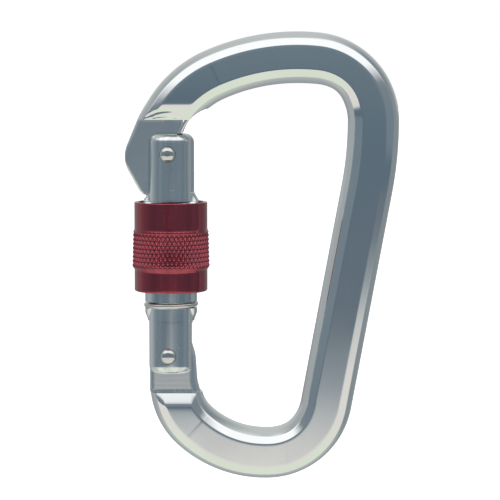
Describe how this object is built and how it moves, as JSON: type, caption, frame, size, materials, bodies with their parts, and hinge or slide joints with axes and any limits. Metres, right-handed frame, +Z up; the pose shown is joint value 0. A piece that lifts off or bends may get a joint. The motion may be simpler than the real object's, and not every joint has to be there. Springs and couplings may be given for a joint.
{
  "type": "locking carabiner",
  "caption": "Pear-shaped screw-gate carabiner: bent forged bar, spring-closed gate that swings inward, and a knurled locking sleeve that screws over the nose.",
  "frame": {"origin": "inside apex of the wide top basket, midway through the bar, where a rope or belay loop seats", "axes": "+Z up towards the top of the basket, +X from the gate to the spine, +Y through the thickness of the bar"},
  "size_m": [0.0682, 0.0192, 0.1119],
  "materials": {
    "polished_aluminium": "forged and polished bright",
    "satin_aluminium": "turned, lightly tumbled satin",
    "red_anodised_aluminium": "dark red anodised, knurled band",
    "stainless_steel": "bright drawn wire and peened pin",
    "spring_steel": "plain spring wire"
  },
  "bodies": {
    "frame": {"body": "polished_aluminium"},
    "gate_assembly": {"gate": "satin_aluminium", "latch_rivet": "stainless_steel", "hinge_rivet": "stainless_steel", "gate_spring": "spring_steel"},
    "plunger": {"spring_plunger": "stainless_steel"},
    "ring": {"stop_ring": "stainless_steel"},
    "sleeve": {"locking_sleeve": "red_anodised_aluminium"}
  },
  "joints": [
    {"name": "gate_hinge", "type": "hinge", "parent": "frame", "child": "gate_assembly", "pos_m": [-0.03205, 0, -0.06775], "axis": [0, 1, 0], "range_deg": [0, 30], "stiffness_Nm_per_rad": 0.38, "springref_deg": -29.79},
    {"name": "plunger_slide", "type": "slide", "parent": "gate_assembly", "child": "plunger", "axis": [0, 0, 1], "range_m": [0, 0.0014], "deforming": ["gate_spring"]},
    {"name": "sleeve_turn", "type": "hinge", "parent": "gate_assembly", "child": "ring", "pos_m": [-0.03145, 0, -0.05515], "axis": [0, 0, 1], "range_deg": [-300, 300]},
    {"name": "sleeve_travel", "type": "slide", "parent": "ring", "child": "sleeve", "axis": [0, 0, 1], "range_m": [-0.00251, 0.00251]}
  ],
  "couplings": [
    {"joint": "plunger_slide", "follows": "gate_hinge", "m_per_rad": 0.0024828},
    {"joint": "sleeve_travel", "follows": "sleeve_turn", "m_per_rad": 0.00047746}
  ]
}
